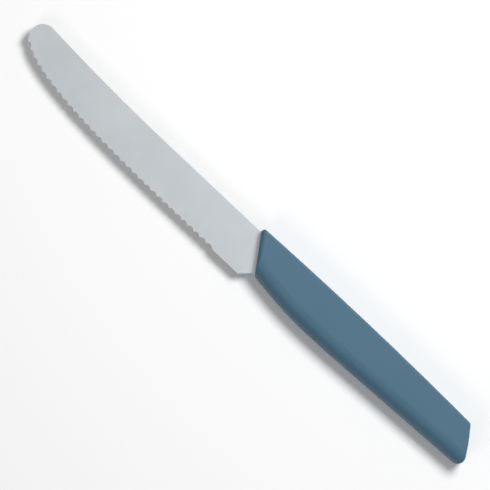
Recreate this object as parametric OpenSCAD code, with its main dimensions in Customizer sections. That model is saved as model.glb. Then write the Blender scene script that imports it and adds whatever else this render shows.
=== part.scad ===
// A table knife with a wavy edge, for tomatoes: one ground steel blank, with its tang inside a
// plastic handle that was moulded round it. Sizes in mm.
// X points to the tip, Y from the spine to the cutting edge, Z up out of the left face.
// The knife lies on one flat side of its handle. Everything is drawn from the point where the
// spine meets the handle, half way through the thickness, and placed() moves it to the row's frame.

/* [Blade] */
// Length of the blade, from the handle to the tip
blade_len = 110; // [100:1:120]
// Height of the blade from spine to edge, at the heel
blade_h = 16.6; // [15.5:0.1:18]
// Thickness of the sheet, kept in the tang and at the spine by the handle
sheet_t = 1.2; // [1:0.05:1.5]
// Thickness left along the edge at the heel after taper grinding
edge_t = 0.55; // [0.45:0.05:0.7]
// Share of that edge thickness ground away again by the tip
tip_taper = 0.6; // [0.3:0.05:0.8]
// Distance from the handle at which the spine starts to sweep up
sweep_x = 45; // [35:1:60]
// Radius of that sweep
sweep_r = 900; // [700:10:1500]
// Radius of the blunt tip
tip_r = 5; // [4:0.1:5.5]
// Distance from the handle at which the edge starts to curve up to the tip
curve_x = 11.5; // [5:0.5:20]
// How far below the line of the spine the edge's curve ends
tip_y = 1.7; // [1:0.1:2.5]
// Distance of the heel's corner behind the start of the spine
heel_back = 3.9; // [3:0.1:5]

/* [Wavy edge] */
// Pitch of the teeth, measured along the edge
tooth_pitch = 3.05; // [2.6:0.05:3.6]
// Depth of the hollow between two teeth
tooth_depth = 0.85; // [0.6:0.05:1]
// Angle of the grooves to the blade's face
groove_angle = 18; // [15:1:24]
// Sheet left outside the teeth where the edge stays plain
edge_stock = 0.08; // [0.05:0.01:0.15]

/* [Tang] */
// Length of the tang behind the start of the spine
tang_len = 70; // [50:1:80]
// Height of the tang
tang_h = 10.6; // [9:0.1:11]
// Bevel on the corners of the tang's end
tang_bevel = 2; // [1:0.5:3]
// Diameter of the holes that the plastic flows through
key_d = 5; // [3:0.5:6]
// Number of those holes
key_n = 3; // [2:1:4]
// How far into the handle the taper grinding runs
grind_back = 11; // [10:0.5:14]
// Shrinkage gap between the plastic plugs and the steel
plug_gap = 0.02; // [0.01:0.01:0.05]

/* [Handle] */
// Thickness of the handle, between its flat sides
handle_t = 12; // [10:0.5:14]
// Length of the handle, on the line of the spine
grip_len = 102.8; // [95:0.1:110]
// Slant of both ends
lean = 34.5; // [28:0.5:38]
// Height of the top's crown above the line of the spine
top_y = 2.45; // [2:0.05:3]
// Distance of that crown behind the start of the spine
crown_x = 48; // [40:1:56]
// Radius of the slightly arched top
top_r = 1700; // [1200:10:2500]
// Depth of the belly below the line of the spine, where it is deepest
belly_y = 15.5; // [14.5:0.1:17]
// Distance of the deepest point behind the start of the spine
belly_x = 36; // [32:1:42]
// Radius of the belly in front of its deepest point
belly_front_r = 156; // [130:1:200]
// Radius of the belly behind it
belly_rear_r = 400; // [300:10:600]
// Slope of the straight run from there to the butt
belly_slope = 2.3; // [1.5:0.1:3]
// Radius of the slightly rounded butt face
butt_r = 55; // [45:1:90]
// Radius on both sides of the front face
front_edge = 1.8; // [1.2:0.1:2.5]
// Radius on both sides of the top
top_edge = 0.6; // [0.3:0.1:1]
// Radius of the front corner at the top, seen from the side
corner_front = 1.2; // [0.8:0.1:1.6]
// Radius of the front corner at the belly
corner_heel = 1; // [0.5:0.1:1.5]
// Radius of the rear corner at the top
corner_rear = 1.2; // [0.8:0.1:2]
// Radius of the rear corner at the belly
corner_butt = 2.9; // [2:0.1:3.5]

/* [Hidden] */
// facets round a full circle, on small, large and very large radii
$fn = 96;
fine = 360;
finest = 720;

// taper grinding: one plane on each face, closing towards the edge and the tip
slope_y = (sheet_t - edge_t) / 2 / blade_h;
slope_x = edge_t * tip_taper / 2 / blade_len;
function face_z(p) = sheet_t / 2 - slope_x * p[0] - slope_y * p[1];

// spine and tip: a long arc that touches the round tip
sweep_c = [sweep_x, -sweep_r];
tip_x = blade_len - tip_r;
tip_c = [tip_x, sqrt(pow(sweep_r + tip_r, 2) - pow(tip_x - sweep_x, 2)) - sweep_r];
sweep_a = asin((tip_x - sweep_x) / (sweep_r + tip_r));

// cutting edge: a quarter of an oval of the third degree, from curve_x to the tip
oval_n = 3;
oval_a = blade_len - curve_x;
oval_b = blade_h - tip_y;
oval_end = 85;
function oval(a) = [
    curve_x + oval_a * pow(sin(a), 2 / oval_n),
    tip_y + oval_b * pow(cos(a), 2 / oval_n)
];
function share(x) = max(0, (x - curve_x) / oval_a);
function edge_y(x) = tip_y + oval_b * pow(1 - pow(share(x), oval_n), 1 / oval_n);
function edge_slope(x) =
    -atan(oval_b / oval_a * pow(share(x), 2) * pow(1 - pow(share(x), oval_n), -2 / oval_n));

// teeth: steps of one pitch along the edge, up to the last that fits below the tip
first_tooth = -0.3;
last_tooth = blade_len - 2.6;
function next_x(x) = x + tooth_pitch * cos(edge_slope(x + tooth_pitch / 2 * cos(edge_slope(x))));
tooth_x = [for (x = first_tooth; x < last_tooth; x = next_x(x)) x];
teeth = [for (x = concat(tooth_x, [next_x(tooth_x[len(tooth_x) - 1])])) [x, edge_y(x) - edge_stock]];

// a groove as deep as the hollow, cut at a slant by a rod of this radius
groove_dip = tooth_depth * sin(groove_angle);
groove_r = (pow(tooth_pitch / 2, 2) + pow(groove_dip, 2)) / (2 * groove_dip);
groove_len = 24;

// outline of the blank, from the end of the tang round by the spine, tip and edge
arc_step = 4;
blank = concat(
    [[-tang_len, tang_bevel], [-tang_len + tang_bevel, 0]],
    [for (i = [0:8]) sweep_c + sweep_r * [sin(sweep_a * i / 8), cos(sweep_a * i / 8)]],
    [for (a = [arc_step - 90:arc_step:0]) tip_c + tip_r * [cos(a), sin(a)]],
    [for (a = [oval_end:-2:1]) oval(a)],
    [[curve_x, blade_h], [-heel_back, blade_h], [-heel_back - blade_h + tang_h, tang_h]],
    [[-tang_len + tang_bevel, tang_h], [-tang_len, tang_h - tang_bevel]]
);

// handle: straight sides of the outline, and how far it stands proud of the trimmed faces
half_t = handle_t / 2;
proud = 0.03;
reach = 40;
butt_turn = 3;
belly_turn = 9.5;
butt_mid_y = 3.9;
butt_mid = [-grip_len - butt_mid_y * tan(lean), butt_mid_y];
butt_c = butt_mid + butt_r * [cos(lean), sin(lean)];

// the point where two lines cross, each given by a point and a direction
function cross_at(p, d, q, e) = p + d * ((q - p)[0] * e[1] - (q - p)[1] * e[0]) / (d[0] * e[1] - d[1] * e[0]);
function ray(a) = [cos(a), sin(a)];

// lines that touch the outline: a point on each, and its direction
out = proud * ray(lean);
front_p = out;
front_d = ray(90 + lean);
top_front = [0, -top_y + pow(crown_x, 2) / (2 * top_r) - proud];
top_rear = [-grip_len, -top_y + pow(grip_len - crown_x, 2) / (2 * top_r) - proud];
top_front_d = ray(180 + asin(crown_x / top_r));
top_rear_d = ray(180 - asin((grip_len - crown_x) / top_r));
butt_up_p = butt_c - butt_r * ray(lean + butt_turn);
butt_up_d = ray(90 + lean + butt_turn);
butt_low_p = butt_c - butt_r * ray(lean - butt_turn);
butt_low_d = ray(90 + lean - butt_turn);
belly_p = [-belly_x, belly_y + proud];
belly_rear_c = [-belly_x, belly_y - belly_rear_r];
belly_front_c = [-belly_x, belly_y - belly_front_r];
belly_rear_p = belly_rear_c + (belly_rear_r + proud) * ray(90 + belly_slope);
belly_front_p = belly_front_c + (belly_front_r + proud) * ray(90 - belly_turn);

// corners of the outline: where neighbouring lines cross, and the radius of each; those with
// radius 0 are cut away by the sweeps
corners = [
    [cross_at(front_p, front_d, top_front, top_front_d), corner_front],
    [cross_at(top_front, top_front_d, top_rear, top_rear_d), 0],
    [cross_at(top_rear, top_rear_d, butt_up_p, butt_up_d), corner_rear],
    [cross_at(butt_up_p, butt_up_d, butt_low_p, butt_low_d), butt_r],
    [cross_at(butt_low_p, butt_low_d, belly_rear_p, ray(belly_slope)), corner_butt],
    [cross_at(belly_rear_p, ray(belly_slope), belly_p, ray(0)), 0],
    [cross_at(belly_p, ray(0), belly_front_p, ray(-belly_turn)), 0],
    [cross_at(belly_front_p, ray(-belly_turn), front_p, front_d), corner_heel]
];

// the arc of radius r that rounds corner b between its neighbours a and c
corner_steps = 10;
function unit(v) = v / norm(v);
function turned(v, a) = [v[0] * cos(a) - v[1] * sin(a), v[0] * sin(a) + v[1] * cos(a)];
function arc_at(a, b, c, r) =
    let (
        u = unit(a - b),
        w = unit(c - b),
        half = acos(u * w) / 2,
        centre = b + unit(u + w) * r / sin(half),
        start = b + u * r / tan(half) - centre,
        side = sign(u[0] * w[1] - u[1] * w[0])
    )
    [for (i = [0:corner_steps]) centre + turned(start, -side * (180 - 2 * half) * i / corner_steps)];
function rounded(list) = let (n = len(list)) [
    for (i = [0:n - 1])
        each list[i][1] == 0
            ? [list[i][0]]
            : arc_at(list[(i + n - 1) % n][0], list[i][0], list[(i + 1) % n][0], list[i][1])
];

// where the knife rests: the middle of the flat side
rest_y = (belly_y - half_t - top_y) / 2;
rest_x = -grip_len / 2 - rest_y * tan(lean);

// puts a piece in the row's frame: the middle of the lower flat side is the origin
module placed() {
    translate([-rest_x, -rest_y, half_t])
        children();
}

// the stamped sheet, with its key holes
module stamped_blank(hole_d) {
    difference() {
        linear_extrude(sheet_t, center = true)
            polygon(blank);
        for (i = [1:key_n])
            translate([-heel_back - blade_h + tang_h - (tang_len - blade_h) * i / (key_n + 1), tang_h / 2, 0])
                cylinder(h = 2 * sheet_t, d = hole_d, center = true);
    }
}

// what the taper grinding takes off the left face
module grinding() {
    translate([-grind_back, 0, face_z([-grind_back, 0])])
        rotate([-atan(slope_y * cos(atan(slope_x))), atan(slope_x), 0])
            translate([0, -blade_h, 0])
                cube([2 * blade_len, 3 * blade_h, sheet_t]);
}

module ground_blank(hole_d) {
    difference() {
        stamped_blank(hole_d);
        grinding();
        mirror([0, 0, 1])
            grinding();
    }
}

// one groove between teeth a and b, cut at a slant from the right face
module groove(a, b) {
    middle = (a + b) / 2;
    translate([middle[0], middle[1], face_z(middle)])
        rotate([0, 0, atan2(b[1] - a[1], b[0] - a[0])])
            translate([0, -tooth_depth, 0])
                rotate([groove_angle, 0, 0])
                    translate([0, 0, -groove_r])
                        rotate([90, 0, 0])
                            cylinder(h = groove_len, r = groove_r, center = true);
}

module blade() {
    color("Silver")
        placed()
            difference() {
                ground_blank(key_d);
                for (i = [0:len(teeth) - 2])
                    groove(teeth[i], teeth[i + 1]);
            }
}

// section of the handle, r out from the centre of a bend: flat sides and a full-round belly
module belly_section(r) {
    translate([r - half_t, 0])
        circle(half_t, $fn = 64);
    translate([r - reach, -half_t])
        square([reach - half_t, handle_t]);
}

// that section swept along the belly: front bend, rear bend and straight run
module belly_sweep() {
    translate(belly_front_c)
        rotate([0, 0, 90 - 2 * belly_turn])
            rotate_extrude(angle = 2 * belly_turn, $fn = fine)
                belly_section(belly_front_r);
    translate(belly_rear_c)
        rotate([0, 0, 90])
            rotate_extrude(angle = belly_slope, $fn = finest)
                belly_section(belly_rear_r);
    translate(belly_rear_c)
        rotate([0, 0, belly_slope])
            translate([-grip_len, belly_rear_r - half_t, 0])
                rotate([0, 90, 0])
                    cylinder(h = grip_len, r = half_t);
    translate(belly_rear_c)
        rotate([0, 0, belly_slope])
            translate([-grip_len, belly_rear_r - reach, -half_t])
                cube([grip_len, reach - half_t, handle_t]);
}

// section of a bar with its end face at r and both edges of that face rounded
module eased_section(r, ease, depth) {
    translate([r - depth, -half_t])
        square([depth - ease, handle_t]);
    translate([r - depth, ease - half_t])
        square([depth, handle_t - 2 * ease]);
    for (side = [-1, 1])
        translate([r - ease, side * (half_t - ease)])
            circle(ease, $fn = 48);
}

module top_sweep() {
    translate([-crown_x, top_r - top_y])
        rotate([0, 0, 267.5])
            rotate_extrude(angle = 5, $fn = finest)
                eased_section(top_r, top_edge, reach);
}

// the slanted front face with its rounded sides
module front_end() {
    rotate([0, 0, lean])
        rotate([90, 0, 0])
            linear_extrude(2 * grip_len, center = true)
                eased_section(0, front_edge, 2 * grip_len);
}

module handle() {
    color([0.27, 0.42, 0.52])
        placed()
            difference() {
                intersection() {
                    linear_extrude(2 * handle_t, center = true)
                        polygon(rounded(corners));
                    belly_sweep();
                    top_sweep();
                    front_end();
                }
                ground_blank(key_d - 2 * plug_gap);
            }
}

blade();
handle();
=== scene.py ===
# %% [markdown]
# # A tomato knife on a white table
# The real knife is two pieces: a stamped and ground steel blade, and a plastic handle moulded
# round its tang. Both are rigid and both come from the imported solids, in metres, with the tip
# along +X, the cutting edge along +Y and the blade's left face up. Their shapes could be drawn
# again here with finer meshes. The solids already have the outline, the teeth and the rolled
# belly, so this script keeps them, gives them their finishes, lays them on a table and lights them.

# %% Load the knife
import math

import bpy
from mathutils import Matrix, Vector


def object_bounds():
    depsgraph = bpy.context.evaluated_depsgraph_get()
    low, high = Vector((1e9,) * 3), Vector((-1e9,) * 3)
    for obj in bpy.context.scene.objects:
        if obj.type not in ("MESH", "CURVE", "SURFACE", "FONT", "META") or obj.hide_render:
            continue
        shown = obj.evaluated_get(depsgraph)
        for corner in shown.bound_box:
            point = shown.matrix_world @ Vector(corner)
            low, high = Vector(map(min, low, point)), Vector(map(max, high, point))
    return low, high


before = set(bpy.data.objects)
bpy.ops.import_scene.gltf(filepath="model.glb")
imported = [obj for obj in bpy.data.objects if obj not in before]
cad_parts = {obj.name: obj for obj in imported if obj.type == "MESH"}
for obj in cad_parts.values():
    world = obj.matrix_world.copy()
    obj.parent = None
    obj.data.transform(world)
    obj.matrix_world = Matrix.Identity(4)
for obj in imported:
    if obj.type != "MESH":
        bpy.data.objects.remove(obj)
solid_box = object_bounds()
MM = 0.001
knife_length = (solid_box[1][0] - solid_box[0][0]) / MM
print(f"knife {knife_length:.1f} mm long, nodes {sorted(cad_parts)}")


# %% [markdown]
# ## Colours and nodes
# A maker picks colours from a chart, where they are written as sRGB hex values. Blender's shaders
# work in linear light, so one function turns the first into the second. A material is a small
# tree of nodes. One function adds a node with its settings and its links in one go: a setting is
# an attribute of the node where it has one of that name, and the value of a socket otherwise.

# %% Helpers for colours and nodes
def paint(hex_code):
    shares = [int(hex_code[i:i + 2], 16) / 255 for i in (1, 3, 5)]
    linear = [c / 12.92 if c <= 0.04045 else ((c + 0.055) / 1.055) ** 2.4 for c in shares]
    return (*linear, 1)


def add(tree, kind, settings=None, links=None):
    node = tree.nodes.new(kind)
    for name, value in (settings or {}).items():
        if isinstance(name, str) and hasattr(node, name):
            setattr(node, name, value)
        else:
            node.inputs[name].default_value = value
    for name, source in (links or {}).items():
        tree.links.new(source, node.inputs[name])
    return node


def new_finish(name):
    finish = bpy.data.materials.new(name)
    finish.use_nodes = True
    finish.node_tree.nodes.clear()
    return finish, finish.node_tree


# sockets of a Mix node that is set to colours
COLOUR_A, COLOUR_B, COLOUR_OUT = 6, 7, 2
print("chart colour #808080 is", round(paint("#808080")[0], 3), "in linear light")


# %% [markdown]
# ## Satin knife steel
# The blade is hardened stainless knife steel, ground across on a fine belt, so its scratches run
# from spine to edge and blur what it mirrors. They could be modelled as grooves, or drawn as a
# picture. One noise, squeezed along the blade and stretched across it, gives them at their real
# length of some millimetres. Real scratches are about 0.02 mm apart, too fine to show, so these
# are 0.09 mm apart. A slow second noise makes the tone a little uneven, as wiped steel is.

# %% Steel
SCRATCH_PITCH = 0.09 * MM
SCRATCH_LENGTH = 5 * MM
SCRATCH_DEPTH = 0.004 * MM
SHEET = 1 * MM
STEEL_CLOUD = 14 * MM


def satin_steel():
    finish, tree = new_finish("satin_knife_steel")
    place = add(tree, "ShaderNodeTexCoord").outputs["Object"]
    stretch = (1 / SCRATCH_PITCH, 1 / SCRATCH_LENGTH, 1 / SHEET)
    across = add(tree, "ShaderNodeMapping", {"Scale": stretch}, {"Vector": place})
    scratches = add(tree, "ShaderNodeTexNoise", {"Scale": 1, "Detail": 3, "Roughness": 0.6},
                    {"Vector": across.outputs[0]})
    clouds = add(tree, "ShaderNodeTexNoise", {"Scale": 1 / STEEL_CLOUD, "Detail": 2},
                 {"Vector": place})
    rough = add(tree, "ShaderNodeMapRange", {"To Min": 0.3, "To Max": 0.46},
                {"Value": scratches.outputs["Fac"]})
    tone = add(tree, "ShaderNodeMix",
               {"data_type": "RGBA", COLOUR_A: paint("#B9BEC2"), COLOUR_B: paint("#C8CCCF")},
               {0: clouds.outputs["Fac"]})
    lines = add(tree, "ShaderNodeBump", {"Strength": 0.25, "Distance": SCRATCH_DEPTH},
                {"Height": scratches.outputs["Fac"]})
    steel = add(tree, "ShaderNodeBsdfPrincipled", {"Metallic": 1.0},
                {"Base Color": tone.outputs[COLOUR_OUT], "Roughness": rough.outputs[0],
                 "Normal": lines.outputs[0]})
    add(tree, "ShaderNodeOutputMaterial", links={"Surface": steel.outputs[0]})
    return finish


# %% [markdown]
# ## Moulded polypropylene
# The handle is polypropylene, coloured right through, and takes the spark-eroded grain of its
# mould: shallow pits that turn the gloss into a dull sheen. The pits could be cut into the mesh,
# but they are far smaller than its faces, so a noise with a 0.22 mm grain bends the light instead.
# A slow noise shifts the blue slightly, as pigment does where the melt has flowed.

# %% Plastic
GRAIN = 0.22 * MM
GRAIN_DEPTH = 0.02 * MM
FLOW = 30 * MM
POLYPROPYLENE_IOR = 1.49


def moulded_plastic():
    finish, tree = new_finish("moulded_polypropylene")
    place = add(tree, "ShaderNodeTexCoord").outputs["Object"]
    pits = add(tree, "ShaderNodeTexNoise", {"Scale": 1 / GRAIN, "Detail": 2, "Roughness": 0.5},
               {"Vector": place})
    flow = add(tree, "ShaderNodeTexNoise", {"Scale": 1 / FLOW, "Detail": 2}, {"Vector": place})
    tone = add(tree, "ShaderNodeMix",
               {"data_type": "RGBA", COLOUR_A: paint("#3F667C"), COLOUR_B: paint("#466E86")},
               {0: flow.outputs["Fac"]})
    rough = add(tree, "ShaderNodeMapRange", {"To Min": 0.42, "To Max": 0.56},
                {"Value": pits.outputs["Fac"]})
    grain = add(tree, "ShaderNodeBump", {"Strength": 0.3, "Distance": GRAIN_DEPTH},
                {"Height": pits.outputs["Fac"]})
    plastic = add(tree, "ShaderNodeBsdfPrincipled", {"IOR": POLYPROPYLENE_IOR},
                  {"Base Color": tone.outputs[COLOUR_OUT], "Roughness": rough.outputs[0],
                   "Normal": grain.outputs[0]})
    add(tree, "ShaderNodeOutputMaterial", links={"Surface": plastic.outputs[0]})
    return finish


# %% [markdown]
# ## Dress the pieces
# Each solid takes one finish all over, because each real piece is one material all over.

# %% Give the pieces their finishes
for node_name, finish in (("blade", satin_steel()), ("handle", moulded_plastic())):
    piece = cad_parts[node_name]
    piece.data.materials.clear()
    piece.data.materials.append(finish)
    print(node_name, "wears", finish.name)

# %% [markdown]
# ## Table
# The knife lies on a plain white sheet, large enough to fill every view. It is lit like the
# knife and so keeps the soft shadow on the edge's side. To the camera alone it glows a little, so
# that it reads as white without any more light falling on the knife.

# %% Table
TABLE_SIZE = 6.0
UNDER_KNIFE = -0.02 * MM
MIDDLE_X = 0.055
TABLE_GLOW = 0.06
bpy.ops.mesh.primitive_plane_add(size=TABLE_SIZE, location=(MIDDLE_X, 0, UNDER_KNIFE))
table = bpy.context.object
table.name = "table"
white, white_tree = new_finish("white_table")
paper = add(white_tree, "ShaderNodeBsdfDiffuse", {"Color": paint("#FFFFFF")})
glow = add(white_tree, "ShaderNodeEmission", {"Color": paint("#FFFFFF"), "Strength": TABLE_GLOW})
bright = add(white_tree, "ShaderNodeAddShader", links={0: paper.outputs[0], 1: glow.outputs[0]})
table_rays = add(white_tree, "ShaderNodeLightPath")
shown = add(white_tree, "ShaderNodeMixShader",
            links={0: table_rays.outputs["Is Camera Ray"], 1: paper.outputs[0],
                   2: bright.outputs[0]})
add(white_tree, "ShaderNodeOutputMaterial", links={"Surface": shown.outputs[0]})
table.data.materials.append(white)
print(f"table {TABLE_SIZE:.0f} m wide, {UNDER_KNIFE / MM:.2f} mm below the knife")

# %% [markdown]
# ## Room
# A photographer's tent surrounds the knife. A dim even white lights everything a little. Gloss
# mirrors a tent that is bright overhead and towards the edge's side and dark at its foot, which is
# what gives the steel its tone.

# %% Room
ROOM_LIGHT = 0.22
world = bpy.data.worlds.new("pale_room")
bpy.context.scene.world = world
world.use_nodes = True
room = world.node_tree
even = room.nodes["Background"]
even.inputs["Color"].default_value = paint("#FFFFFF")
even.inputs["Strength"].default_value = ROOM_LIGHT
direction = add(room, "ShaderNodeTexCoord")
heading = add(room, "ShaderNodeSeparateXYZ", links={"Vector": direction.outputs["Generated"]})
height = add(room, "ShaderNodeMapRange",
             {"From Min": 0.25, "From Max": 0.75, "To Min": 0.05, "To Max": 0.52},
             {"Value": heading.outputs["Z"]})
side = add(room, "ShaderNodeMapRange",
           {"From Min": -0.35, "From Max": 0.35, "To Min": 0.7, "To Max": 1.5},
           {"Value": heading.outputs["Y"]})
level = add(room, "ShaderNodeMath", {"operation": "MULTIPLY"},
            {0: height.outputs[0], 1: side.outputs[0]})
tent = add(room, "ShaderNodeBackground", {"Color": paint("#FFFFFF")},
           {"Strength": level.outputs[0]})
room_rays = add(room, "ShaderNodeLightPath")
both = add(room, "ShaderNodeMixShader",
           links={0: room_rays.outputs["Is Glossy Ray"], 1: even.outputs[0], 2: tent.outputs[0]})
room.links.new(both.outputs[0], room.nodes["World Output"].inputs["Surface"])
print("room light", ROOM_LIGHT)


# %% [markdown]
# ## Lamps
# One broad round lamp stands on the spine's side and throws the soft shadow past the edge. A weak
# one on the edge's side lifts the roll of the handle's belly.

# %% Lamps
def lamp(name, place, width, watts):
    data = bpy.data.lights.new(name, "AREA")
    data.shape = "DISK"
    data.size = width
    data.energy = watts
    lit = bpy.data.objects.new(name, data)
    lit.location = place
    aim = Vector((MIDDLE_X, 0, 0)) - Vector(place)
    lit.rotation_euler = aim.to_track_quat("-Z", "Y").to_euler()
    bpy.context.collection.objects.link(lit)
    print(f"{name}: {width} m wide, {aim.length:.2f} m away, {watts} W")


lamp("key", place=(0.0, -0.45, 0.8), width=0.35, watts=6.4)
lamp("belly_lamp", place=(MIDDLE_X, 0.45, 0.6), width=0.3, watts=0.5)

# %% [markdown]
# ## Camera
# The camera looks straight down on the knife's side, from far enough away that near and far parts
# keep their sizes. It is turned so that the knife lies on the picture's diagonal, tip upper left,
# and a pixel spans 0.3591 mm of the knife.

# %% Camera
TURN = math.radians(43.3)
PIXELS = 490
PIXEL_SIZE = 0.3591 * MM
MIDDLE = Vector((55.0 * MM, 3.8 * MM, 6 * MM))
DISTANCE = 1.6
right = Vector((-math.cos(TURN), -math.sin(TURN), 0))
up = Vector((math.sin(TURN), -math.cos(TURN), 0))
back = Vector((0, 0, 1))
camera_data = bpy.data.cameras.new("camera")
camera_data.lens = camera_data.sensor_width * DISTANCE / (PIXELS * PIXEL_SIZE)
camera = bpy.data.objects.new("camera", camera_data)
axes = Matrix((right, up, back)).transposed().to_4x4()
camera.matrix_world = Matrix.Translation(MIDDLE + DISTANCE * back) @ axes
bpy.context.collection.objects.link(camera)
bpy.context.scene.camera = camera
bpy.context.scene.view_settings.view_transform = "Standard"
print(f"lens {camera_data.lens:.0f} mm at {DISTANCE} m")
